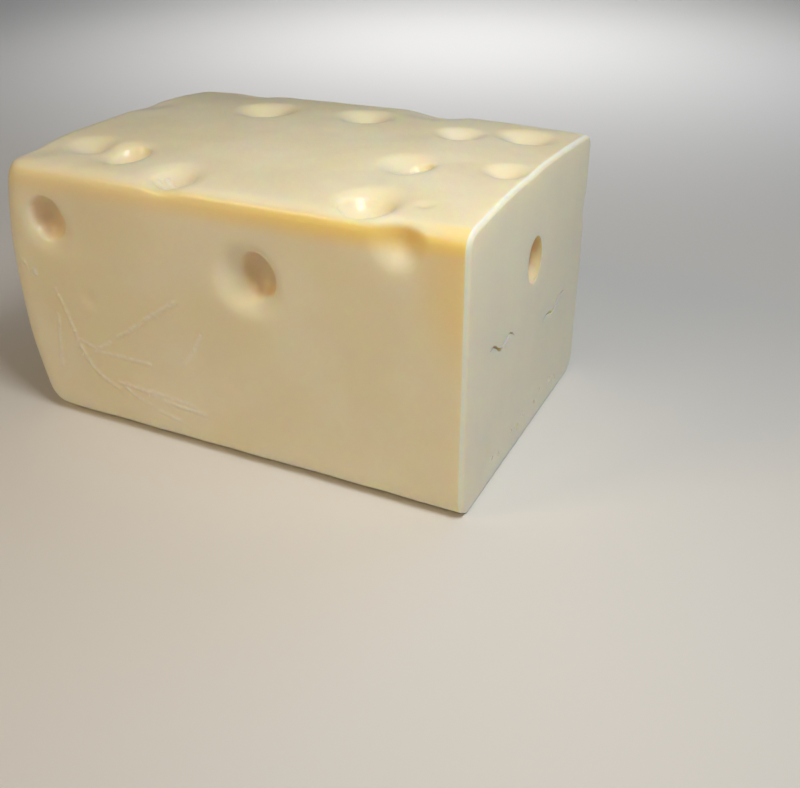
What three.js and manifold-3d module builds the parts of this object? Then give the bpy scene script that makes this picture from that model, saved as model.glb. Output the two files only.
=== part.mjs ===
// A block of rindless Swiss cheese with one end cut off by a knife.
//
// Millimetres, +Z up. The moulded end is at -X, the knife-cut end at +X, the front long side at -Y.
// The block is worked out in its own corner frame (x from the furthest swelling of the moulded end,
// y from the front side, z from the base) and moved to the middle of its base at the end.

import * as THREE from "three";
import { mergeVertices } from "three/addons/utils/BufferGeometryUtils.js";
import Module from "manifold-3d";

const wasm = await Module();
wasm.setup();

// ---------------------------------------------------------------- driving dimensions

const LENGTH = 187; // moulded end to knife cut, along the middle
const DEPTH = 122; // front long side to back long side
const EDGE_HEIGHT = 100; // height of the long top edges at the two ends
const CROWN = 3.2; // rise of the top between its long edges
const BACK_BOW = 2.1; // rise of the back top edge halfway along it
const END_BULGE = 8; // swelling of the moulded end at mid-height

const BASE_ROUNDING = 7.5; // radius of the edges round the base
const TOP_ROUNDING = 4; // radius of the edges round the top
const END_ROUNDING = 2.5; // extra radius of the edges of the moulded end
const END_REACH = 30; // how far from the moulded end that extra radius reaches

const KNIFE_ROOM = 14; // length of cheese that is modelled past the cut and taken off by the knife

// ---------------------------------------------------------------- eyes (the gas holes)

// A place is (x, y) on the top and the base, (x, z) on the front and the back, (y, z) on the ends.

// Where the skin sank in over an eye. radius: how far the dish reaches; sink: how deep it goes.
const DISHES = [
  { face: "top", at: [30.5, 24], radius: 11, sink: 3.3 },
  { face: "top", at: [47, 22], radius: 13, sink: 3.8 },
  { face: "top", at: [77, 9.5], radius: 13, sink: 3 },
  { face: "top", at: [148, 12], radius: 13, sink: 5 },
  { face: "top", at: [165, 15.5], radius: 3.6, sink: 0.9 },
  { face: "top", at: [63, 87.5], radius: 14, sink: 4.6 },
  { face: "top", at: [103.8, 93.5], radius: 13, sink: 4.2 },
  { face: "top", at: [146.5, 86.5], radius: 10.5, sink: 3.6 },
  { face: "top", at: [168.5, 97], radius: 13, sink: 4.4 },
  { face: "top", at: [178.5, 53.5], radius: 9.5, sink: 3.4 },
  { face: "top", at: [145.5, 46.5], radius: 11.5, sink: 3.8 },
  { face: "front", at: [26, 79.5], radius: 13, sink: 3.2 },
  { face: "front", at: [109.5, 73.2], radius: 16.5, sink: 5.6 },
  { face: "front", at: [163, 93], radius: 11.5, sink: 5 },
  { face: "front", at: [40, 53], radius: 5, sink: 0.7 },
  { face: "back", at: [186, 70], radius: 9, sink: 2.4 },
  { face: "top", at: [15, 16], radius: 13, sink: 0.8 },
  { face: "top", at: [14, 78], radius: 11, sink: 0.9 },
  { face: "top", at: [42, 114], radius: 12, sink: 0.8 },
  { face: "top", at: [127, 115], radius: 15, sink: 1.8 },
];

// Where an eye opened. opening: its level and upright widths; depth: how deep it goes below the
// skin there, which is the dish's where it opened in a dish.
const BOWLS = [
  { face: "top", at: [48, 22], opening: [12, 14], depth: 3 },
  { face: "top", at: [77.5, 8.5], opening: [11, 10], depth: 1.3 },
  { face: "top", at: [148.5, 11], opening: [12.5, 12], depth: 2.2 },
  { face: "top", at: [147.5, 44], opening: [9.5, 9], depth: 3.4 },
  { face: "front", at: [26.5, 80.8], opening: [12.5, 14.5], depth: 4.6 },
  { face: "front", at: [111.4, 74.7], opening: [14, 15.5], depth: 5.8 },
  { face: "cut", at: [61, 71], opening: [14, 17], depth: 8 },
];

// The sides turned away have eyes of the same kinds, spread by a low-discrepancy rule. The sizes of
// each are shares of its width, and every second one is a dish that didn't open.
const AWAY_EYES = [
  { face: "back", count: 3, largest: 17 },
  { face: "end", count: 2, largest: 16 },
  { face: "base", count: 3, largest: 14 },
];
const AWAY_DISH = { radius: 0.85, sink: 0.2 };
const AWAY_BOWL = { level: 0.7, upright: 0.76, depth: 0.2 };
const SPREAD = [0.7548776662, 0.569840291]; // steps of the rule along and across a face
const CLEAR_MARGIN = 0.2; // share of a face kept clear of such eyes along each of its edges
const SMALLEST_SHARE = 0.7; // width of the smallest such eye, as a share of the largest

// ---------------------------------------------------------------- faults in the cut face

// at: middle of the split, (y, z); turn: slope of the split in radians.
const SPLITS = [
  { at: [32, 52], length: 24, width: 1.5, turn: -0.14, depth: 3.5 },
  { at: [88, 42], length: 26, width: 1.3, turn: 0.12, depth: 3 },
];
const SPLIT_TEETH = 9; // jags along a split
const SPLIT_TIP = 0.12; // half width of a split at its tips

const PINHOLES = { count: 9, first: 22, last: 104, height: 9, scatter: 4, smallest: 1.9, largest: 3.6 };

// ---------------------------------------------------------------- fineness of the mesh

const COARSE_EDGE = 11; // triangle edge on plain stretches
const FINE_EDGE = 3.9; // triangle edge in a dish
const FADE = 24; // distance over which the fine edge grows to the coarse one
const TOO_LONG = 1.45; // an edge this many times the allowed length is split
const REFINE_PASSES = 4;
const BOWL_SIDES = 18;
const BOWL_RINGS = 14;

// ---------------------------------------------------------------- shape of the block

const FACES = {
  top: { outward: [0, 0, 1], place: (a, b) => [a, b, EDGE_HEIGHT], size: [LENGTH, DEPTH] },
  base: { outward: [0, 0, -1], place: (a, b) => [a, b, 0], size: [LENGTH, DEPTH] },
  front: { outward: [0, -1, 0], place: (a, b) => [a, 0, b], size: [LENGTH, EDGE_HEIGHT] },
  back: { outward: [0, 1, 0], place: (a, b) => [a, DEPTH, b], size: [LENGTH, EDGE_HEIGHT] },
  end: { outward: [-1, 0, 0], place: (a, b) => [END_BULGE, a, b], size: [DEPTH, EDGE_HEIGHT] },
  cut: { outward: [1, 0, 0], place: (a, b) => [LENGTH, a, b], size: [DEPTH, EDGE_HEIGHT] },
};

const fraction = (value) => value - Math.floor(value);

// Radius of the edge rounding at a place on the plain box.
function roundingAt(x, z) {
  const awayFromEnd = THREE.MathUtils.smoothstep(x, END_BULGE, END_BULGE + END_REACH);
  const radius = THREE.MathUtils.lerp(BASE_ROUNDING, TOP_ROUNDING, z / EDGE_HEIGHT);
  return radius + END_ROUNDING * (1 - awayFromEnd);
}

// Crown of the top, bow of the back edge, swelling of the moulded end. The base stays flat.
function swell(point) {
  const along = (point.x - END_BULGE) / (LENGTH - END_BULGE);
  const across = (2 * point.y) / DEPTH - 1;
  const up = point.z / EDGE_HEIGHT;
  const middleHeight = 4 * up * (1 - up);
  const crown = CROWN * (1 - across * across);
  const bow = BACK_BOW * (1 - (2 * along - 1) ** 2) * Math.max(0, across);
  return new THREE.Vector3(
    point.x - END_BULGE * Math.max(0, 1 - along) ** 3 * middleHeight,
    point.y,
    point.z + up * (crown + bow),
  );
}

// An eye with its place in the block and the direction that its face looks in. The faces swelled,
// all but the cut, which the knife made afterwards.
function onFace(eye) {
  const { outward, place } = FACES[eye.face];
  const spot = new THREE.Vector3(...place(...eye.at));
  const centre = eye.face === "cut" ? spot : swell(spot);
  return { ...eye, centre, outward: new THREE.Vector3(...outward) };
}

// Eyes of one face that is turned away: each step of the rule gives a place and a width.
function awayEyes({ face, count, largest }) {
  const used = 1 - 2 * CLEAR_MARGIN;
  return Array.from({ length: count }, (_, i) => {
    const share = SPREAD.map((step) => CLEAR_MARGIN + used * fraction(0.5 + step * (i + 1)));
    const growth = fraction(SPREAD[1] * (3 * i + 1));
    return {
      face,
      at: share.map((value, axis) => value * FACES[face].size[axis]),
      width: largest * THREE.MathUtils.lerp(SMALLEST_SHARE, 1, growth),
      opened: i % 2 === 0,
    };
  });
}

function awayDish({ face, at, width }) {
  return { face, at, radius: AWAY_DISH.radius * width, sink: AWAY_DISH.sink * width };
}

function awayBowl({ face, at, width }) {
  const opening = [AWAY_BOWL.level * width, AWAY_BOWL.upright * width];
  return { face, at, opening, depth: AWAY_BOWL.depth * width };
}

const hiddenEyes = AWAY_EYES.flatMap(awayEyes);
const dishes = [...DISHES, ...hiddenEyes.map(awayDish)].map(onFace);
const bowls = [...BOWLS, ...hiddenEyes.filter((eye) => eye.opened).map(awayBowl)].map(onFace);

// ---------------------------------------------------------------- the block before cutting

// Grid lines along one side of the plain box: two in each rounded edge, even between them.
function gridLines(size) {
  const band = BASE_ROUNDING;
  const bandMiddle = band * (1 - Math.tan(Math.PI / 8));
  const cells = Math.round((size - 2 * band) / COARSE_EDGE);
  const inner = Array.from({ length: cells + 1 }, (_, i) => band + ((size - 2 * band) * i) / cells);
  return [0, bandMiddle, ...inner, size - bandMiddle, size];
}

// Points and triangles of a closed box with rounded edges, still without crown and eyes.
function roundedBox() {
  const size = new THREE.Vector3(LENGTH - END_BULGE + KNIFE_ROOM, DEPTH, EDGE_HEIGHT);
  const lines = size.toArray().map(gridLines);
  const box = new THREE.BoxGeometry(1, 1, 1, ...lines.map((list) => list.length - 1));
  box.deleteAttribute("normal");
  box.deleteAttribute("uv");
  const { attributes, index } = mergeVertices(box);
  const points = Array.from({ length: attributes.position.count }, (_, i) => {
    const share = new THREE.Vector3().fromBufferAttribute(attributes.position, i).toArray();
    const steps = share.map((value, axis) => Math.round((value + 0.5) * (lines[axis].length - 1)));
    const point = new THREE.Vector3(...steps.map((step, axis) => lines[axis][step]));
    const radius = roundingAt(point.x + END_BULGE, point.z);
    const lowest = new THREE.Vector3().setScalar(radius);
    const core = point.clone().clamp(lowest, size.clone().sub(lowest));
    const outward = point.sub(core).normalize();
    return core.addScaledVector(outward, radius).setX(core.x + END_BULGE);
  });
  const corners = [...index.array];
  const triangles = Array.from({ length: corners.length / 3 }, (_, i) => corners.slice(3 * i, 3 * i + 3));
  return { points, triangles };
}

// Longest triangle edge allowed at a place: short in the dishes.
function edgeAllowed(point) {
  const nearest = Math.min(...dishes.map((dish) => point.distanceTo(dish.centre) - dish.radius));
  return THREE.MathUtils.lerp(FINE_EDGE, 1.5 * COARSE_EDGE, THREE.MathUtils.smoothstep(nearest, 0, FADE));
}

// Splits every edge that is too long at its middle, and every triangle to match, in one pass.
function refineOnce(points, triangles) {
  const middles = new Map();
  const middleOf = (a, b) => {
    const key = `${Math.min(a, b)},${Math.max(a, b)}`;
    if (!middles.has(key)) {
      const middle = points[a].clone().lerp(points[b], 0.5);
      const tooLong = points[a].distanceTo(points[b]) > TOO_LONG * edgeAllowed(middle);
      middles.set(key, tooLong ? points.push(middle) - 1 : null);
    }
    return middles.get(key);
  };
  return triangles.flatMap((triangle) => {
    const middle = triangle.map((corner, i) => middleOf(corner, triangle[(i + 1) % 3]));
    const splits = middle.filter((index) => index !== null).length;
    // The triangle is turned so that its split edges come first.
    const firstSplit = middle.findIndex((index) => index !== null);
    const unsplit = middle.indexOf(null);
    const start = splits === 2 ? (unsplit + 1) % 3 : Math.max(0, firstSplit);
    const [a, b, c] = [0, 1, 2].map((i) => triangle[(start + i) % 3]);
    const [ab, bc, ca] = [0, 1, 2].map((i) => middle[(start + i) % 3]);
    const patterns = [
      () => [[a, b, c]],
      () => [[a, ab, c], [ab, b, c]],
      () => [[ab, b, bc], [a, ab, bc], [a, bc, c]],
      () => [[a, ab, ca], [ab, b, bc], [ca, bc, c], [ab, bc, ca]],
    ];
    return patterns[splits]();
  });
}

// A place on the skin after the dishes sank in: each is deepest at its middle and level at its rim.
function sunken(point) {
  const moved = point.clone();
  for (const { centre, outward, radius, sink } of dishes) {
    const share = 1 - THREE.MathUtils.smoothstep(point.distanceTo(centre), 0, radius);
    moved.addScaledVector(outward, -sink * share);
  }
  return moved;
}

// The whole block, swollen and sunk in over its eyes, with room for the knife past the cut.
function uncutBlock() {
  const { points, triangles } = roundedBox();
  let refined = triangles;
  for (let pass = 0; pass < REFINE_PASSES; pass++) refined = refineOnce(points, refined);
  const coordinates = points.flatMap((point) => sunken(swell(point)).toArray());
  return solidFrom(coordinates, refined.flat());
}

// ---------------------------------------------------------------- solids

function solidFrom(coordinates, corners) {
  const vertProperties = Float32Array.from(coordinates);
  const triVerts = Uint32Array.from(corners);
  return new wasm.Manifold(new wasm.Mesh({ numProp: 3, vertProperties, triVerts }));
}

function solidOf(geometry) {
  const bare = geometry.clone();
  bare.deleteAttribute("normal");
  bare.deleteAttribute("uv");
  const { attributes, index } = mergeVertices(bare);
  return solidFrom(attributes.position.array, index.array);
}

// The bowl of one eye: the part of an oval ball that reaches below the skin.
function bowl({ face, outward, centre, opening, depth }) {
  const [level, upright] = opening.map((width) => width / 2);
  const mean = (level + upright) / 2;
  const radius = (mean * mean + depth * depth) / (2 * depth);
  const ball = new THREE.SphereGeometry(radius, BOWL_SIDES, BOWL_RINGS);
  ball.applyQuaternion(new THREE.Quaternion().setFromUnitVectors(new THREE.Vector3(0, 1, 0), outward));
  const stretches = {
    top: [level, upright, mean],
    base: [level, upright, mean],
    front: [level, mean, upright],
    back: [level, mean, upright],
    end: [mean, level, upright],
    cut: [mean, level, upright],
  };
  ball.scale(...stretches[face].map((stretch) => stretch / mean));
  const middle = sunken(centre).addScaledVector(outward, radius - depth);
  ball.translate(...middle.toArray());
  return solidOf(ball);
}

// A jagged hairline split in the cut face: a thin lens whose two lips wander together.
function splitInCut({ at, length, width, turn, depth }) {
  const upper = [];
  const lower = [];
  for (let tooth = 0; tooth <= SPLIT_TEETH; tooth++) {
    const share = tooth / SPLIT_TEETH;
    const along = (share - 0.5) * length;
    const wander = 1.1 * width * Math.sin(7.3 * tooth + at[0]);
    const openness = 0.55 + 0.45 * fraction(SPREAD[0] * (tooth + at[1]));
    const gape = SPLIT_TIP + (width / 2) * Math.sin(Math.PI * share) * openness;
    upper.unshift(new THREE.Vector2(along, wander + gape));
    lower.push(new THREE.Vector2(along, wander - gape));
  }
  const slit = new THREE.ExtrudeGeometry(new THREE.Shape([...lower, ...upper]), {
    depth: depth + 1,
    bevelEnabled: false,
  });
  slit.rotateZ(turn);
  // The outline's own x then runs level across the cut face, and its y runs up.
  slit.rotateX(Math.PI / 2);
  slit.rotateZ(Math.PI / 2);
  slit.translate(LENGTH - depth, at[0], at[1]);
  return solidOf(slit);
}

// The row of pinholes just above the base of the cut face.
function pinholes() {
  const { count, first, last, height, scatter, smallest, largest } = PINHOLES;
  return Array.from({ length: count }, (_, i) => {
    const size = smallest + (largest - smallest) * fraction(SPREAD[0] * (i + 2)) ** 2;
    const y = first + ((last - first) * (i + 0.7 * fraction(SPREAD[1] * (i + 5)))) / count;
    const z = height + scatter * (fraction(SPREAD[1] * (i + 1)) - 0.5);
    const hole = new THREE.SphereGeometry(size / 2, 7, 5);
    hole.translate(LENGTH - 0.2 * size, y, z);
    return solidOf(hole);
  });
}

// The slab of space that the knife takes: its near face is the cut.
function knifeCut() {
  const slab = new THREE.BoxGeometry(2 * KNIFE_ROOM, 2 * DEPTH, 3 * EDGE_HEIGHT);
  slab.translate(LENGTH + KNIFE_ROOM, DEPTH / 2, EDGE_HEIGHT / 2);
  return solidOf(slab);
}

function cheeseSolid() {
  const hollows = [knifeCut(), ...bowls.map(bowl), ...SPLITS.map(splitInCut), ...pinholes()];
  return hollows.reduce((solid, hollow) => solid.subtract(hollow), uncutBlock());
}

// ---------------------------------------------------------------- the part

const paste = new THREE.MeshStandardMaterial({ color: 0xebdfb8, roughness: 0.42, metalness: 0 });

const { vertProperties, triVerts } = cheeseSolid().getMesh();
const skin = new THREE.BufferGeometry();
skin.setAttribute("position", new THREE.BufferAttribute(vertProperties, 3));
skin.setIndex(new THREE.BufferAttribute(triVerts, 1));
skin.computeBoundingBox();
const { min, max } = skin.boundingBox;
skin.translate(-(min.x + max.x) / 2, -(min.y + max.y) / 2, -min.z);
skin.computeVertexNormals();

const cheese = new THREE.Mesh(skin, paste);
cheese.name = "swiss_cheese";

const part = new THREE.Group();
part.add(cheese);

export default part;
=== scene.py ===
import math
import random
import bpy
import numpy as np
from mathutils import Matrix, Vector


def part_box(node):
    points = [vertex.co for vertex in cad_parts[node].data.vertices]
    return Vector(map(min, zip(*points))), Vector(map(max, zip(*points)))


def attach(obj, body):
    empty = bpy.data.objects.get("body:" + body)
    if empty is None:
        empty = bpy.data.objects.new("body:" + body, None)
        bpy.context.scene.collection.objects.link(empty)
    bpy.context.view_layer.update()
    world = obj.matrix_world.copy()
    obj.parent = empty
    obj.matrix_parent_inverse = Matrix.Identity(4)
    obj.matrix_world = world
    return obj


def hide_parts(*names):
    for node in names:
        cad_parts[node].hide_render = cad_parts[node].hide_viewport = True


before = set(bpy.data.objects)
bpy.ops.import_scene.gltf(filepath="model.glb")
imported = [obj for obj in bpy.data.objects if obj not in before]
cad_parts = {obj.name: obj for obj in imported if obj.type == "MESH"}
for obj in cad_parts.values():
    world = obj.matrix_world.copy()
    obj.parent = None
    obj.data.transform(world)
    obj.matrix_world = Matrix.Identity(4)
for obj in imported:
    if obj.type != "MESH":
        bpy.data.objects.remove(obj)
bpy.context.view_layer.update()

# ---------------------------------------------------------------------------------------------
# The body of the block
# A pressed, rindless block that was cured in film: firm, slightly elastic paste with a satin skin.
# The mould rounded its edges, and the block swelled a little as its eyes grew.
# ---------------------------------------------------------------------------------------------

MM = 0.001
TINY = 0.00001
low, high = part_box("swiss_cheese")
LENGTH, DEPTH, _ = (high - low) / MM
EDGE_HEIGHT = 100
CROWN = 3.2
BACK_BOW = 2.1
END_BULGE = 8
BASE_ROUNDING = 7.5
TOP_ROUNDING = 4.5
END_ROUNDING = 9
KNIFE_ROOM = 14
FORM_GRAIN = 1.7
SMOOTHING = 0.5


def place(x, y, z):
    """A place in metres, from millimetres off the block's moulded end, front side and base."""
    return low + Vector((x, y, z)) * MM


def deselect():
    for thing in bpy.context.selected_objects:
        thing.select_set(False)


def work_on(thing):
    deselect()
    thing.select_set(True)
    bpy.context.view_layer.objects.active = thing


def rows(group, field):
    """One vector field of a piece's vertices or faces, as rows of x, y and z."""
    found = np.empty(3 * len(group))
    group.foreach_get(field, found)
    return found.reshape(-1, 3)


def positions(thing):
    return rows(thing.data.vertices, "co")


def edge_ends(thing):
    """Where both ends of each of a piece's edges are."""
    ends = np.empty(2 * len(thing.data.edges), int)
    thing.data.edges.foreach_get("vertices", ends)
    return positions(thing)[ends].reshape(-1, 2, 3)


def pick(thing, wanted, kind="VERT"):
    """Selects the vertices, edges or faces that a row of yes and no marks, and opens edit mode."""
    work_on(thing)
    groups = {"VERT": thing.data.vertices, "EDGE": thing.data.edges, "FACE": thing.data.polygons}
    for group in groups.values():
        group.foreach_set("select", np.zeros(len(group), bool))
    bpy.context.tool_settings.mesh_select_mode = [name == kind for name in groups]
    groups[kind].foreach_set("select", wanted)
    bpy.ops.object.mode_set(mode="EDIT")


def close():
    bpy.ops.object.mode_set(mode="OBJECT")


def apply(thing, kind, **settings):
    """Adds a modifier with its settings and applies it."""
    work_on(thing)
    modifier = thing.modifiers.new(kind, kind)
    for name, value in settings.items():
        setattr(modifier, name, value)
    bpy.ops.object.modifier_apply(modifier=modifier.name)


deselect()
block_low = place(END_BULGE, 0, 0)
block_high = place(LENGTH + KNIFE_ROOM, DEPTH, EDGE_HEIGHT)
bpy.ops.mesh.primitive_cube_add(size=1, location=(block_low + block_high) / 2)
block = bpy.context.object
block.name = "swiss_cheese_block"
block.scale = block_high - block_low
bpy.ops.object.transform_apply(location=True, rotation=True, scale=True)


def upright_at_moulded_end(ends):
    """The edges that lie at the moulded end's x and are more than half the height long."""
    at_end = ends[:, :, 0].max(axis=1) < block_low.x + TINY
    return at_end & (np.ptp(ends[:, :, 2], axis=1) > EDGE_HEIGHT / 2 * MM)


def upper(ends):
    return ends[:, :, 2].min(axis=1) > block_high.z - TINY


def lower(ends):
    return ends[:, :, 2].max(axis=1) < block_low.z + TINY


for test, radius, steps in (
    (upright_at_moulded_end, END_ROUNDING, 6),
    (upper, TOP_ROUNDING, 5),
    (lower, BASE_ROUNDING, 6),
):
    pick(block, test(edge_ends(block)), "EDGE")
    bpy.ops.mesh.bevel(offset=radius * MM, segments=steps, affect="EDGES")
    close()

apply(block, "REMESH", mode="VOXEL", voxel_size=FORM_GRAIN * MM)
apply(block, "SMOOTH", factor=SMOOTHING, iterations=3)


def press(thing, wanted, direction, depth, radius, falloff="SMOOTH"):
    """Moves the marked vertices by depth, and what is round them less and less, out to radius."""
    pick(thing, wanted)
    bpy.ops.transform.translate(
        value=Vector(direction) * depth * MM,
        use_proportional_edit=True,
        proportional_edit_falloff=falloff,
        proportional_size=radius * MM,
    )
    close()


def nearest(thing, point):
    """Marks the one vertex that is nearest to a point."""
    away = np.linalg.norm(positions(thing) - np.array(point), axis=1)
    return np.arange(len(away)) == away.argmin()


UP = Vector((0, 0, 1))
PARABOLA = "INVERSE_SQUARE"
reach = FORM_GRAIN * MM
crown = place(0, DEPTH / 2, EDGE_HEIGHT)
along_crown = (abs(positions(block) - np.array(crown))[:, 1:] < (reach, reach)).all(axis=1)
press(block, along_crown, UP, CROWN, DEPTH / 2, PARABOLA)
bow = place(LENGTH / 2, DEPTH, EDGE_HEIGHT)
press(block, nearest(block, bow), UP, BACK_BOW, LENGTH / 2, PARABOLA)
bulge = place(END_BULGE, 0, EDGE_HEIGHT / 2)
along_bulge = (abs(positions(block) - np.array(bulge))[:, ::2] < (reach, reach)).all(axis=1)
press(block, along_bulge, (-1, 0, 0), END_BULGE, EDGE_HEIGHT / 2, PARABOLA)

# ---------------------------------------------------------------------------------------------
# The eyes
# Gas in the paste blew them up as round bubbles. Where one lies at a face it opens as a smooth
# bowl, with a soft shoulder round it where the skin sank in. Some only dented the skin.
# ---------------------------------------------------------------------------------------------

# Where the skin sank in over an eye: face, place on it, radius, depth.
DISHES = [
    ("top", (30.5, 24), 11, 3.3),
    ("top", (47, 22), 13, 3.8),
    ("top", (77, 9.5), 13, 3.0),
    ("top", (148, 12), 13, 5.0),
    ("top", (165, 15.5), 3.6, 0.9),
    ("top", (63, 87.5), 14, 4.6),
    ("top", (103.8, 93.5), 13, 4.2),
    ("top", (146.5, 86.5), 10.5, 3.6),
    ("top", (168.5, 97), 13, 4.4),
    ("top", (178.3, 53.5), 9, 3.4),
    ("top", (145, 47), 11.5, 3.4),
    ("front", (25.5, 79.2), 13, 3.2),
    ("front", (109.3, 71.8), 14.5, 6.4),
    ("front", (163.3, 94.3), 10.5, 4.0),
    ("front", (40, 53), 5, 0.7),
    ("front", (40, 48.5), 4, -0.4),
    ("back", (186, 70), 9, 2.4),
    ("top", (15, 16), 13, 0.8),
    ("top", (14, 78), 11, 0.9),
    ("top", (42, 114), 12, 0.8),
    ("top", (127, 115), 15, 1.8),
]
# Where an eye opened: face, place on it, level and upright widths of its opening, depth.
BOWLS = [
    ("top", (48, 22), (12, 14), 3.0),
    ("top", (77.5, 8.5), (11, 10), 1.3),
    ("top", (148.5, 11), (12.5, 12), 2.2),
    ("top", (149.5, 48.5), (8.5, 7), 3.0),
    ("front", (25.2, 80.8), (14.2, 15.2), 4.2),
    ("front", (112.2, 74), (14.3, 15.8), 5.2),
    ("cut", (61, 71), (14, 17), 10.0),
]
FACES = {
    "top": (Vector((0, 0, 1)), lambda a, b: place(a, b, EDGE_HEIGHT), (LENGTH, DEPTH)),
    "base": (Vector((0, 0, -1)), lambda a, b: place(a, b, 0), (LENGTH, DEPTH)),
    "front": (Vector((0, -1, 0)), lambda a, b: place(a, 0, b), (LENGTH, EDGE_HEIGHT)),
    "back": (Vector((0, 1, 0)), lambda a, b: place(a, DEPTH, b), (LENGTH, EDGE_HEIGHT)),
    "end": (Vector((-1, 0, 0)), lambda a, b: place(END_BULGE, a, b), (DEPTH, EDGE_HEIGHT)),
    "cut": (Vector((1, 0, 0)), lambda a, b: place(LENGTH, a, b), (DEPTH, EDGE_HEIGHT)),
}
# Which face each one is like, in the two directions that run along it.
LIKE_FACE = {
    "top": "top",
    "base": "top",
    "front": "front",
    "back": "front",
    "end": "end",
    "cut": "end",
}

# Eyes of the sides that are turned away are of the same kinds, spread by a low-discrepancy rule.
# Each of those faces has a count and a largest width. The rest are shares of an eye's own width.
AWAY_EYES = (("back", 3, 17), ("end", 2, 16), ("base", 3, 14))
SPREAD = (0.7548776662, 0.569840291)
CLEAR_MARGIN = 0.2
SMALLEST = 0.7
DISH_RADIUS = 0.85
OPENING = (0.7, 0.76)
SINK = 0.2
for face, count, largest in AWAY_EYES:
    for i in range(count):
        draws = [(0.5 + step * (i + 1)) % 1 for step in SPREAD]
        share = [CLEAR_MARGIN + (1 - 2 * CLEAR_MARGIN) * draw for draw in draws]
        at = [value * size for value, size in zip(share, FACES[face][2])]
        width = largest * (SMALLEST + (1 - SMALLEST) * ((SPREAD[1] * (3 * i + 1)) % 1))
        DISHES.append((face, at, DISH_RADIUS * width, SINK * width))
        if i % 2 == 0:
            BOWLS.append((face, at, [part * width for part in OPENING], SINK * width))

for face, at, radius, depth in DISHES:
    outward, on_face, _ = FACES[face]
    press(block, nearest(block, on_face(*at)), -outward, depth, radius)

# The skin is a little uneven all over.
UNEVEN_SIZE = 30
UNEVEN_HEIGHT = 0.9
uneven = bpy.data.textures.new("uneven", "CLOUDS")
uneven.noise_scale = UNEVEN_SIZE * MM
apply(block, "DISPLACE", texture=uneven, strength=UNEVEN_HEIGHT * MM, mid_level=0.5)

BALL_SIDES = 48
BALL_RINGS = 24


def bowl(face, at, opening, depth):
    """An oval ball that stands proud of a face and reaches depth below the skin there."""
    outward, on_face, _ = FACES[face]
    level, upright = (width / 2 for width in opening)
    mean = (level + upright) / 2
    radius = (mean * mean + depth * depth) / (2 * depth)
    start = on_face(*at)
    if face != "cut":
        on_skin = Vector(positions(block)[nearest(block, start)][0])
        start += outward * (on_skin - start).dot(outward)
    deselect()
    bpy.ops.mesh.primitive_uv_sphere_add(
        segments=BALL_SIDES,
        ring_count=BALL_RINGS,
        radius=radius * MM,
        location=start + outward * (radius - depth) * MM,
    )
    ball = bpy.context.object
    widths = {
        "top": (level, upright, mean),
        "front": (level, mean, upright),
        "end": (mean, level, upright),
    }
    ball.scale = [width / mean for width in widths[LIKE_FACE[face]]]
    bpy.ops.object.transform_apply(location=True, rotation=True, scale=True)
    return ball


def take_out(thing, tools):
    """Cuts tools that lie clear of each other out of a piece, and removes them."""
    deselect()
    for tool in tools:
        tool.select_set(True)
    joined = tools[0]
    bpy.context.view_layer.objects.active = joined
    if len(tools) > 1:
        bpy.ops.object.join()
    apply(thing, "BOOLEAN", operation="DIFFERENCE", solver="MANIFOLD", object=joined)
    bpy.data.objects.remove(joined, do_unlink=True)


take_out(block, [bowl(*sizes) for sizes in BOWLS if sizes[0] != "cut"])

# A finer mesh with soft edges round the eyes. What lies within STANDS_ON of the floor becomes flat.
SKIN_GRAIN = 0.8
KEPT_SHARE = 0.33
STANDS_ON = 0.6
apply(block, "REMESH", mode="VOXEL", voxel_size=SKIN_GRAIN * MM)
apply(block, "SMOOTH", factor=SMOOTHING, iterations=2)
apply(block, "DECIMATE", ratio=KEPT_SHARE)
pick(block, positions(block)[:, 2] < place(0, 0, STANDS_ON).z)
bpy.ops.transform.resize(value=(1, 1, 0), center_override=place(0, 0, 0))
close()

# ---------------------------------------------------------------------------------------------
# The knife cut
# One flat face of fresh paste, paler than the skin, with what the knife opened in it: part of an
# eye, two thin splits, and a row of pinholes that gas left near the base.
# ---------------------------------------------------------------------------------------------

RIM = 1.4
RIM_RINGS = ((0.3, 0.7), (0.7, 0.3))
FACING = 0.99
pick(block, np.ones(len(block.data.vertices), bool))
bpy.ops.mesh.bisect(
    plane_co=place(LENGTH - RIM, 0, 0),
    plane_no=(1, 0, 0),
    use_fill=True,
    clear_outer=True,
)
close()


def in_plane(thing, x):
    """Marks the faces that look along the block and lie at x."""
    near = abs(rows(thing.data.polygons, "center")[:, 0] - place(x, 0, 0).x) < TINY
    return near & (rows(thing.data.polygons, "normal")[:, 0] > FACING)


# The rim of the cut is a little blunt: the first ring turns in steeply, the second one lies flatter.
# The face inside them is made quite flat and split from its middle, so that no face has a hole.
pick(block, in_plane(block, LENGTH - RIM), "FACE")
for inward, forth in RIM_RINGS:
    bpy.ops.mesh.inset(thickness=inward * RIM * MM, depth=forth * RIM * MM)
bpy.ops.transform.resize(value=(0, 1, 1), center_override=place(LENGTH, 0, 0))
bpy.ops.mesh.poke()
close()

# Each split: place on the cut, length, width, turn in radians, depth.
SPLITS = (
    ((32, 52), 24, 1.5, -0.14, 3.5),
    ((88, 42), 26, 1.3, 0.12, 3),
)
SPLIT_TEETH = 9
SPLIT_TIP = 0.12
SPLIT_WANDER = 1.1
SPLIT_TURNS = 7.3
LEAST_OPEN = 0.55
PROUD = 1
PINHOLE_COUNT = 9
PINHOLE_ROW = (22, 104)
PINHOLE_HEIGHT = 9
PINHOLE_SCATTER = 4
PINHOLE_SIZES = (1.9, 3.6)
PINHOLE_STRAY = 0.7
PINHOLE_SINK = 0.2


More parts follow.
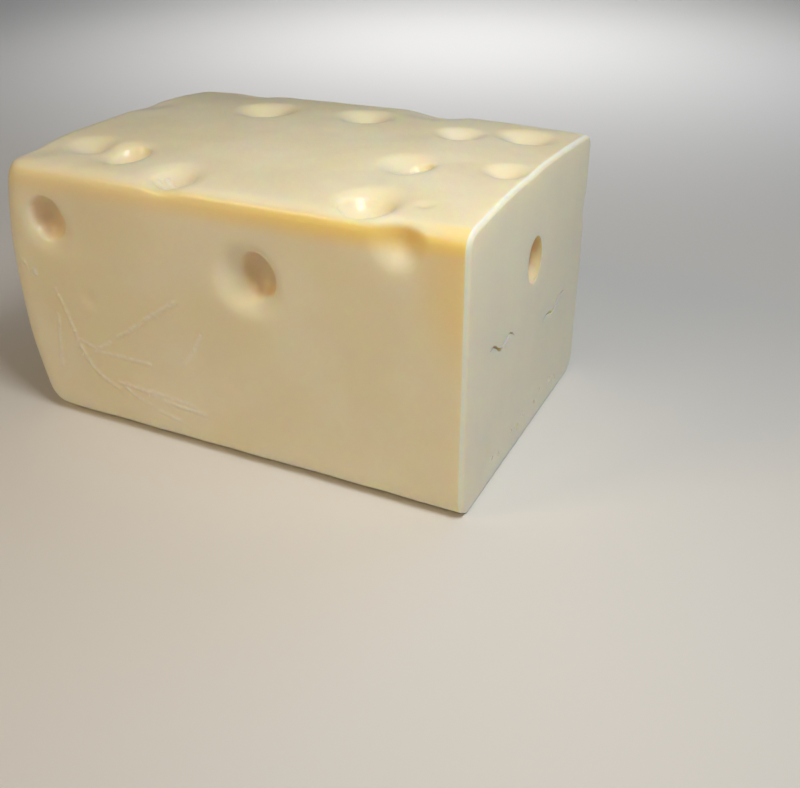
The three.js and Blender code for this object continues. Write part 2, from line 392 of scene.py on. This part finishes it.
def split(at, length, width, turn, depth):
    """A jagged blade that stands in the cut: its two lips wander together and close at its tips."""
    deselect()
    bpy.ops.mesh.primitive_grid_add(x_subdivisions=SPLIT_TEETH, y_subdivisions=1, size=MM)
    blade = bpy.context.object
    blade.scale = (length, 1, 1)
    bpy.ops.object.transform_apply(location=True, rotation=True, scale=True)
    for tooth in range(SPLIT_TEETH + 1):
        share = tooth / SPLIT_TEETH
        wander = SPLIT_WANDER * width * math.sin(SPLIT_TURNS * tooth + at[0])
        openness = LEAST_OPEN + (1 - LEAST_OPEN) * ((SPREAD[0] * (tooth + at[1])) % 1)
        gape = SPLIT_TIP + width / 2 * math.sin(math.pi * share) * openness
        pick(blade, abs(positions(blade)[:, 0] - (share - 0.5) * length * MM) < TINY)
        bpy.ops.transform.resize(value=(1, 2 * gape, 1))
        bpy.ops.transform.translate(value=(0, wander * MM, 0))
        close()
    pick(blade, np.ones(len(blade.data.polygons), bool), "FACE")
    bpy.ops.mesh.extrude_region_move(TRANSFORM_OT_translate={"value": (0, 0, (depth + PROUD) * MM)})
    bpy.ops.mesh.select_all(action="SELECT")
    bpy.ops.mesh.normals_make_consistent(inside=False)
    close()
    # The blade's own x runs level across the cut, its y runs up and its z runs out of the cheese.
    moved = Matrix.Translation(place(LENGTH - depth, *at))
    standing = Matrix(((0, 0, 1), (1, 0, 0), (0, 1, 0))).to_4x4()
    blade.matrix_world = moved @ standing @ Matrix.Rotation(turn, 4, "Z")
    bpy.ops.object.transform_apply(location=True, rotation=True, scale=True)
    return blade


def pinhole(i):
    """One of the small round gas holes in the row above the base."""
    smallest, largest = PINHOLE_SIZES
    first, last = PINHOLE_ROW
    size = smallest + (largest - smallest) * ((SPREAD[0] * (i + 2)) % 1) ** 2
    stray = PINHOLE_STRAY * ((SPREAD[1] * (i + 5)) % 1)
    y = first + (last - first) * (i + stray) / PINHOLE_COUNT
    z = PINHOLE_HEIGHT + PINHOLE_SCATTER * ((SPREAD[1] * (i + 1)) % 1 - 0.5)
    deselect()
    bpy.ops.mesh.primitive_uv_sphere_add(
        segments=14,
        ring_count=9,
        radius=size / 2 * MM,
        location=place(LENGTH - PINHOLE_SINK * size, y, z),
    )
    bpy.ops.object.transform_apply(location=True, rotation=True, scale=True)
    return bpy.context.object


DOUBLES = 0.000001
opened = [bowl(*sizes) for sizes in BOWLS if sizes[0] == "cut"]
opened += [split(*sizes) for sizes in SPLITS]
opened += [pinhole(i) for i in range(PINHOLE_COUNT)]
take_out(block, opened)
pick(block, np.ones(len(block.data.vertices), bool))
bpy.ops.mesh.remove_doubles(threshold=DOUBLES)
bpy.ops.mesh.dissolve_degenerate(threshold=DOUBLES)
close()

# ---------------------------------------------------------------------------------------------
# The creases
# The film that the cheese cured in lay in folds. They pressed fine lines into the skin: a raised
# line with a groove below it, scuffed pale where it stands proud.
# ---------------------------------------------------------------------------------------------

# How high the creases stand, and each crease: face, how high, points on it. The shortest are flakes.
DEEP = 0.36
SHALLOW = 0.2
CREASES = [
    ("front", DEEP, ((23.5, 54.3), (28, 43), (30.6, 32.8), (35, 24), (42.3, 19.4), (46.5, 17.4))),
    ("front", DEEP, ((47.5, 20.3), (55.7, 19.9), (63, 18.6), (70, 17), (86.2, 15.9))),
    ("front", DEEP, ((49, 39.2), (60.5, 46.5), (63.2, 49), (78.4, 58.9))),
    ("front", DEEP, ((9.4, 63), (11, 62))),
    ("front", DEEP, ((14.6, 60), (15.2, 58.6))),
    ("front", DEEP, ((40.2, 20.4), (41.6, 20.1))),
    ("front", DEEP, ((50, 18.8), (52.6, 17.8))),
    ("front", SHALLOW, ((61, 19.8), (73, 19.2), (82, 18))),
    ("front", SHALLOW, ((52.6, 17), (58.7, 14.8), (65.6, 11.9), (73.7, 10.5))),
    ("front", SHALLOW, ((22.8, 43.7), (20.6, 32.3), (19.2, 21.6))),
    ("front", SHALLOW, ((38, 31.4), (46.7, 31.7), (63.3, 31.3))),
    ("front", SHALLOW, ((32, 34.7), (35.6, 33.4), (40.2, 32.8), (45.8, 36.9))),
    ("front", SHALLOW, ((87.9, 48.3), (84.3, 41.3), (79.2, 35.3))),
    ("top", DEEP, ((71.5, 8.5), (76, 5.5), (82, 7))),
    ("top", DEEP, ((73, 11.5), (78, 8.5), (84, 10))),
    ("top", DEEP, ((144, 42), (148, 41), (151.5, 43.5))),
]
# The sides that are turned away have shallow ones, which wander from a random start.
AWAY_CREASES = (("back", 5), ("end", 3))
AWAY_POINTS = 4
START_ACROSS = (0.2, 0.8)
START_UP = (0.2, 0.6)
STEP = 8
BEND = 0.4
chance = random.Random(5)
for face, count in AWAY_CREASES:
    for _ in range(count):
        width, height = FACES[face][2]
        across = chance.uniform(*START_ACROSS) * width
        point = np.array((across, chance.uniform(*START_UP) * height))
        heading = chance.uniform(0, math.pi)
        points = []
        for _ in range(AWAY_POINTS):
            points.append(tuple(point))
            heading += chance.uniform(-BEND, BEND)
            point += (STEP * math.cos(heading), STEP * math.sin(heading))
        CREASES.append((face, SHALLOW, points))

# A crease's line is moved by its height, its groove by half of that, and the skin within
# CREASE_REACH of them less and less. The mesh is made finer near them first.
CREASE_LINE = 0.3
CREASE_REACH = 1.2
GROOVE = 0.5
CREASE_CUTS = 2
NEAR_CREASE = 2.2
ON_SKIN = 10


def rounded(points):
    """The same path with its corners cut off three times, so that it runs in smooth bends."""
    path = np.array(points, float)
    for _ in range(3):
        early = 0.75 * path[:-1] + 0.25 * path[1:]
        late = 0.25 * path[:-1] + 0.75 * path[1:]
        path = np.vstack((path[:1], np.stack((early, late), axis=1).reshape(-1, 2), path[-1:]))
    return path


def off_path(found, face, path):
    """How many millimetres places on a face are from a path on it, as seen straight on."""
    outward, on_face, _ = FACES[face]
    outward = np.array(outward)
    joints = np.array([on_face(*point) for point in path])
    proud = (found - joints[0]) @ outward
    flat = found - proud[:, None] * outward
    least = np.full(len(found), np.inf)
    for start, end in zip(joints[:-1], joints[1:]):
        run = end - start
        share = np.clip((flat - start) @ run / (run @ run), 0, 1)
        least = np.minimum(least, np.linalg.norm(flat - start - share[:, None] * run, axis=1))
    return np.where(abs(proud) < ON_SKIN * MM, least / MM, np.inf)


def off_all(found, paths):
    """How many millimetres places are from the nearest of some faces' paths."""
    return np.min([off_path(found, face, path) for face, path in paths], axis=0)


def shifted(path, width):
    """The same path, moved to its right-hand side by a width."""
    run = np.gradient(path, axis=0)
    aside = np.stack((run[:, 1], -run[:, 0]), axis=1)
    return path + width * aside / np.linalg.norm(run, axis=1)[:, None]


creases = [(face, height, rounded(points)) for face, height, points in CREASES]
paths = [(face, path) for face, _, path in creases]
pick(block, off_all(rows(block.data.polygons, "center"), paths) < NEAR_CREASE, "FACE")
bpy.ops.mesh.subdivide(number_cuts=CREASE_CUTS)
close()

for face, height in sorted({(face, height) for face, height, _ in creases}):
    alike = [path for other, tall, path in creases if (other, tall) == (face, height)]
    for aside, lift in ((0, height), (CREASE_REACH, -GROOVE * height)):
        lines = [(face, shifted(path, aside)) for path in alike]
        on_line = off_all(positions(block), lines) < CREASE_LINE
        press(block, on_line, FACES[face][0], lift, CREASE_REACH)

# ---------------------------------------------------------------------------------------------
# The paste
# Light goes some millimetres into it. The skin is a satin ivory, painted a deeper yellow under the
# upper edges and beside the cut as a glow of light through the paste, and partly as drier skin. The
# eyes are a pinker gold with painted shade in them, darkest in the cut eye. The fresh cut is the
# palest and least glossy, with painted shade low down and a torn rim painted as a cool sheen.
# ---------------------------------------------------------------------------------------------


def note(thing, name, values):
    """Keeps one number for each vertex, which the material reads by this name."""
    thing.data.attributes.new(name, "FLOAT", "POINT").data.foreach_set("value", values)


def fade(value, full, none):
    """1 at full and 0 at none, with a smooth way between them."""
    share = np.clip((value - none) / (full - none), 0, 1)
    return share * share * (3 - 2 * share)


def inside_eye(found, face, at, opening):
    """1 inside an eye's opening, 0 outside it, for places near its face."""
    outward, on_face, _ = FACES[face]
    away = (found - np.array(on_face(*at))) / MM
    across, along = {"top": (0, 1), "front": (0, 2), "end": (1, 2)}[LIKE_FACE[face]]
    spread = np.hypot(away[:, across] / (opening[0] / 2), away[:, along] / (opening[1] / 2))
    return np.where(abs(away @ np.array(outward)) < ON_SKIN, fade(spread, *EYE_RIM), 0)


# Painted shade in the eyes: those of the top, which face the light, get the least of it, and the cut
# one the most, as deep gold.
EYE_SHADE_SHARE = {"top": 0.3, "cut": 2}
EYE_RIM = (0.9, 1.15)
SCUFF_REACH = (0.2, 1.0)
found = positions(block)
eye_tint_and_shade = [EYE_SHADE_SHARE.get(sizes[0], 1) * inside_eye(found, *sizes[:3]) for sizes in BOWLS]
note(block, "eye_tint_and_shade", np.max(eye_tint_and_shade, axis=0))
note(block, "creased", fade(off_all(found, paths), *SCUFF_REACH))

# Near the front, the back or the moulded end, whose upper edge lies END_EDGE in, and near the
# outline of the cut.
END_EDGE = 3
SIDE_REACH = (3.5, 6)
OUTLINE_REACH = (2.5, 4.5)
x_in, y_in, z_in = ((found - np.array(place(0, 0, 0))) / MM).T
off_side = np.min((x_in - END_EDGE, y_in, DEPTH - y_in), axis=0)
off_outline = np.min((y_in, DEPTH - y_in, z_in, EDGE_HEIGHT - z_in), axis=0)
note(block, "at_side", fade(off_side, *SIDE_REACH))
note(block, "at_outline", fade(off_outline, *OUTLINE_REACH))


class Socket:
    """A socket that can be used in sums: each sum adds its Math node."""

    def __init__(self, tree, socket):
        self.tree = tree
        self.socket = socket

    def node(self, kind, settings, *values, output=0, **named):
        node = self.tree.nodes.new(kind)
        for name, value in settings.items():
            setattr(node, name, value)
        for key, value in [*enumerate(values), *named.items()]:
            fill(node.inputs[key], value)
        return Socket(self.tree, node.outputs[output])

    def math(self, operation, *values):
        return self.node("ShaderNodeMath", {"operation": operation}, *values)

    def __add__(self, other):
        return self.math("ADD", self, other)

    def __mul__(self, other):
        return self.math("MULTIPLY", self, other)

    def __rsub__(self, other):
        return self.math("SUBTRACT", other, self)

    __radd__ = __add__
    __rmul__ = __mul__

    def between(self, none, full):
        """0 below none, 1 above full, and a smooth way between them."""
        settings = {"interpolation_type": "SMOOTHSTEP"}
        ends = {"From Min": none, "From Max": full}
        return self.node("ShaderNodeMapRange", settings, Value=self, **ends)

    def blend(self, first, second):
        """The first colour where this is 0 and the second where it is 1."""
        node = self.tree.nodes.new("ShaderNodeMix")
        node.data_type = "RGBA"
        sockets = {socket.identifier: socket for socket in node.inputs}
        fill(sockets["Factor_Float"], self)
        fill(sockets["A_Color"], first)
        fill(sockets["B_Color"], second)
        return Socket(self.tree, node.outputs[2])


def fill(target, value):
    """Links a socket in, or writes a number, vector or colour."""
    if isinstance(value, Socket):
        value.tree.links.new(value.socket, target)
    elif target.type == "RGBA":
        target.default_value = (*value, 1)
    else:
        target.default_value = value


# How deep red light goes into the paste, and how deep red, green and blue go as shares of it.
LIGHT_DEPTH = 6.5
LIGHT_SHARES = (1.0, 0.66, 0.2)
MOIST_PASTE_IOR = 1.42
FILM_ROUGHNESS = 0.14


def paste(name, dress, moist):
    """A material that light goes into, whose colour, roughness and height dress() works out."""
    material = bpy.data.materials.new(name)
    material.use_nodes = True
    tree = material.node_tree
    shader = tree.nodes["Principled BSDF"]
    shader.inputs["Subsurface Weight"].default_value = 1
    shader.inputs["Subsurface Radius"].default_value = LIGHT_SHARES
    shader.inputs["Subsurface Scale"].default_value = LIGHT_DEPTH * MM
    shader.inputs["IOR"].default_value = MOIST_PASTE_IOR
    shader.inputs["Coat Weight"].default_value = moist
    shader.inputs["Coat Roughness"].default_value = FILM_ROUGHNESS
    where = Socket(tree, tree.nodes.new("ShaderNodeTexCoord").outputs["Object"])
    colour, roughness, height = dress(where)
    bump = where.node("ShaderNodeBump", {}, Strength=1, Distance=MM, Height=height)
    fill(shader.inputs["Base Color"], colour)
    fill(shader.inputs["Roughness"], roughness)
    fill(shader.inputs["Normal"], bump)
    return material


def mottle(where, size, detail=2, stretch=(1, 1, 1)):
    """Soft patches about size millimetres across, from 0 to 1."""
    scaled = where.node("ShaderNodeMapping", {}, Vector=where, Scale=stretch)
    return where.node("ShaderNodeTexNoise", {}, Vector=scaled, Scale=1 / (size * MM), Detail=detail)


def kept(where, name):
    """The number that note() kept under a name."""
    return where.node("ShaderNodeAttribute", {"attribute_name": name}, output="Fac")


IVORY = (0.90, 0.83, 0.63)
DEEP_IVORY = (0.87, 0.79, 0.56)
# The yellow of the band under the upper edges is a painted glow of light through the paste, and
# partly drier skin.
DRY_AND_GLOW_YELLOW = (0.95, 0.73, 0.27)
# The eye gold is a pinker paste with painted shade; the deep gold is painted shade in the deep cut
# eye.
SHADED_EYE_GOLD = (0.90, 0.73, 0.49)
DEEP_EYE_SHADE = (0.52, 0.38, 0.03)
SCUFF = (0.94, 0.90, 0.80)
FRESH = (0.94, 0.89, 0.69)
FRESH_SHADE = (0.84, 0.79, 0.645)
# The cut rim's cooler colour is a painted sheen of the edge catching the light.
CUT_EDGE_SHEEN = (0.80, 0.84, 0.75)
MOIST_SKIN = 0.25

# The skin's patches are BROAD wide, its grain FINE and its pores FINEST, and its scuffs break up
# into bits SCUFF_BIT wide. The cut has broad patches too, and marks that the knife dragged along.
BROAD = 34
FINE = 3.2
FINEST = 1.1
SCUFF_BIT = 2.2
LEAST_SCUFF = 0.35
CUT_BROAD = 30
CUT_FINEST = 0.8
DRAG = 1.6
DRAGGED = (1, 1, 0.05)
PATCHES = (0.35, 0.65)
BITS = (0.42, 0.6)
TORN_RIM = (0.5, 0.1)

# Under the upper edges the skin is painted yellower more and more between two heights, as a glow
# of light that comes through the paste there and partly as drier skin, and the band ends between
# two more. It is least at the moulded end. Beside the cut the skin is painted yellower too, between
# two distances off it and two heights.
GLOW_HEIGHTS = (EDGE_HEIGHT - 12, EDGE_HEIGHT - 4)
GLOW_ENDS = (97, 99.5)
GLOW_ALONG = (-60, 60)
LEAST_GLOW = 0.35
BESIDE_CUT = (22, 3)
BESIDE_HEIGHTS = (45, 80)
BESIDE_SHARE = 0.6


def off_origin(where, axis):
    """How many millimetres a place is from the frame's origin along one axis."""
    return where.node("ShaderNodeSeparateXYZ", {}, where, output=axis) * (1 / MM)


def glow_and_dryness(where):
    """How far the skin is painted yellow as a glow of light through the paste, and partly as drying,
    from 0 to 1.
    """
    height_off = off_origin(where, "Z")
    along = off_origin(where, "X")
    under_edge = height_off.between(*GLOW_HEIGHTS) * (1 - height_off.between(*GLOW_ENDS))
    under_edge = under_edge * (LEAST_GLOW + (1 - LEAST_GLOW) * along.between(*GLOW_ALONG))
    off_cut = along.between(*(high.x / MM - distance for distance in BESIDE_CUT))
    beside_cut = BESIDE_SHARE * off_cut * height_off.between(*BESIDE_HEIGHTS)
    return kept(where, "at_side") * where.math("MAXIMUM", under_edge, beside_cut)


def skin(where):
    """The satin skin, the eyes in it and the scuffed creases. Its heights are in millimetres."""
    broad = mottle(where, BROAD).between(*PATCHES)
    fine = mottle(where, FINE, 4)
    eye = kept(where, "eye_tint_and_shade")
    deep = eye.between(1, 2)
    bits = LEAST_SCUFF + (1 - LEAST_SCUFF) * mottle(where, SCUFF_BIT, 3).between(*BITS)
    scuffed = kept(where, "creased") * bits
    colour = broad.blend(IVORY, DEEP_IVORY)
    # Painted glow of light through the paste under the upper edges and beside the cut, partly drier
    # skin.
    colour = glow_and_dryness(where).blend(colour, DRY_AND_GLOW_YELLOW)
    # Painted shade in the eyes, over their pinker paste, and painted deep shade in the cut eye.
    colour = (eye * 0.8).blend(colour, SHADED_EYE_GOLD)
    colour = deep.blend(colour, DEEP_EYE_SHADE)
    colour = (scuffed * 0.8).blend(colour, SCUFF)
    roughness = 0.30 + 0.10 * fine + 0.15 * scuffed + 0.4 * deep
    height = 0.05 * fine + 0.06 * scuffed + 0.03 * mottle(where, FINEST)
    return colour, roughness, height


def fresh_cut(where):
    """The flat face of the cut, with painted shade low down. Its heights are in millimetres."""
    drag = mottle(where, DRAG, 3, DRAGGED)
    broad = mottle(where, CUT_BROAD).between(*PATCHES)
    in_rim = 1 - off_origin(where, "X").between(*(high.x / MM - share * RIM for share in TORN_RIM))
    torn_and_sheen_edge = in_rim * kept(where, "at_outline")
    # Painted shade: the cut is darker low down.
    painted_shade_low = 1 - off_origin(where, "Z").between(EDGE_HEIGHT / 2, EDGE_HEIGHT)
    colour = (0.25 * broad + 0.25 * drag + 0.5 * painted_shade_low).blend(FRESH, FRESH_SHADE)
    # The torn rim is rougher, and its cooler colour is a painted sheen of the edge catching the
    # light.
    colour = torn_and_sheen_edge.blend(colour, CUT_EDGE_SHEEN)
    roughness = 0.42 + 0.10 * drag + 0.2 * torn_and_sheen_edge
    height = 0.05 * drag + 0.02 * mottle(where, CUT_FINEST)
    return colour, roughness, height


block.data.materials.clear()
block.data.materials.append(paste("cheese_skin", skin, MOIST_SKIN))
block.data.materials.append(paste("cheese_cut_face", fresh_cut, 0))
centres = rows(block.data.polygons, "center")
cut_eyes = [sizes[:3] for sizes in BOWLS if sizes[0] == "cut"]
in_cut_eye = np.max([inside_eye(centres, *sizes) for sizes in cut_eyes], axis=0)
past_rim = (centres[:, 0] > place(LENGTH - RIM, 0, 0).x) & (in_cut_eye < 0.5)
block.data.polygons.foreach_set("material_index", past_rim.astype(int))

# Edges that turn by more than this stay crisp, and the cut is flat right up to its rim.
CRISP_ANGLE = 50
work_on(block)
bpy.ops.object.shade_smooth_by_angle(angle=math.radians(CRISP_ANGLE))
pick(block, in_plane(block, LENGTH), "FACE")
bpy.ops.mesh.faces_shade_flat()
close()

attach(block, "root")
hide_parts("swiss_cheese")

# ---------------------------------------------------------------------------------------------
# The studio
# A pale floor under soft light. The main light comes from above and the right, warm ones from the
# left and the front, and a cool one from behind the cut. Two more light the floor behind the block.
# ---------------------------------------------------------------------------------------------

FLOOR_WIDTH = 6
FLOOR_GREY = (0.76, 0.75, 0.74)
FLOOR_ROUGHNESS = 0.6
SKY = (0.86, 0.94, 1.0)
SKY_STRENGTH = 0.08
deselect()
bpy.ops.mesh.primitive_plane_add(size=FLOOR_WIDTH, location=(0, 0, 0))
floor = bpy.context.object
floor.name = "floor"
pale = bpy.data.materials.new("pale_floor")
pale.use_nodes = True
fill(pale.node_tree.nodes["Principled BSDF"].inputs["Base Color"], FLOOR_GREY)
fill(pale.node_tree.nodes["Principled BSDF"].inputs["Roughness"], FLOOR_ROUGHNESS)
floor.data.materials.append(pale)

world = bpy.data.worlds.new("studio")
world.use_nodes = True
fill(world.node_tree.nodes["Background"].inputs["Color"], SKY)
fill(world.node_tree.nodes["Background"].inputs["Strength"], SKY_STRENGTH)
bpy.context.scene.world = world
bpy.context.scene.view_settings.view_transform = "Standard"


def softbox(name, at, target, size, power, colour):
    """A square light that looks at a target."""
    deselect()
    bpy.ops.object.light_add(type="AREA", location=at)
    lamp = bpy.context.object
    lamp.name = name
    lamp.data.size = size
    lamp.data.energy = power
    lamp.data.color = colour
    aim = Vector(target) - Vector(at)
    lamp.rotation_euler = aim.to_track_quat("-Z", "Y").to_euler()
    return lamp


UPPER_PART = (0.02, 0, 0.08)
NEUTRAL = (1.0, 0.975, 0.91)
WARM = (1.0, 0.70, 0.36)
COOL = (0.80, 0.89, 1.0)
WHITE = (1.0, 1.0, 1.0)
# Each light: name, place and target in metres, width in metres, power in watts, colour. The two
# that look down at the floor also have an angle of spread.
softbox("key_light", (0.21, -0.13, 0.38), UPPER_PART, 0.14, 1.02, NEUTRAL)
softbox("left_light", (-0.36, -0.5, 0.5), UPPER_PART, 0.2, 1.0, WARM)
softbox("front_light", (-0.1, -0.75, 0.45), UPPER_PART, 0.16, 0.45, WARM)
softbox("cool_fill", (0.35, 0.6, 0.6), UPPER_PART, 0.6, 0.95, COOL)
for name, at, power, spread in (
    ("near_backdrop_light", (-0.25, 0.75, 1.5), 1.7, 50),
    ("far_backdrop_light", (-0.7, 1.8, 1.8), 5.5, 84),
):
    lamp = softbox(name, at, (at[0], at[1] + MM, 0), 0.4, power, WHITE)
    lamp.data.spread = math.radians(spread)

# ---------------------------------------------------------------------------------------------
# The camera
# It stands at the photograph's viewing angle, worked out from the block's edges and corners.
# ---------------------------------------------------------------------------------------------

YAW = math.radians(-26.04)
PITCH = math.radians(29.91)
ROLL = math.radians(-0.35)
FOCAL_PIXELS = 949.5
FRAME_WIDTH = 800
SENSOR = 36
stand = place(271.4 + END_BULGE, -234.7, 194.3)
ahead = Vector((math.sin(YAW), math.cos(YAW), 0))
level = Vector((math.cos(YAW), -math.sin(YAW), 0))
forward = math.cos(PITCH) * ahead - math.sin(PITCH) * UP
right = math.cos(ROLL) * level + math.sin(ROLL) * level.cross(forward)
over = right.cross(forward)
deselect()
bpy.ops.object.camera_add(location=stand)
camera = bpy.context.object
turned = Matrix((right, over, -forward)).transposed().to_4x4()
camera.matrix_world = Matrix.Translation(stand) @ turned
camera.data.sensor_width = SENSOR
camera.data.lens = SENSOR * FOCAL_PIXELS / FRAME_WIDTH
bpy.context.scene.camera = camera
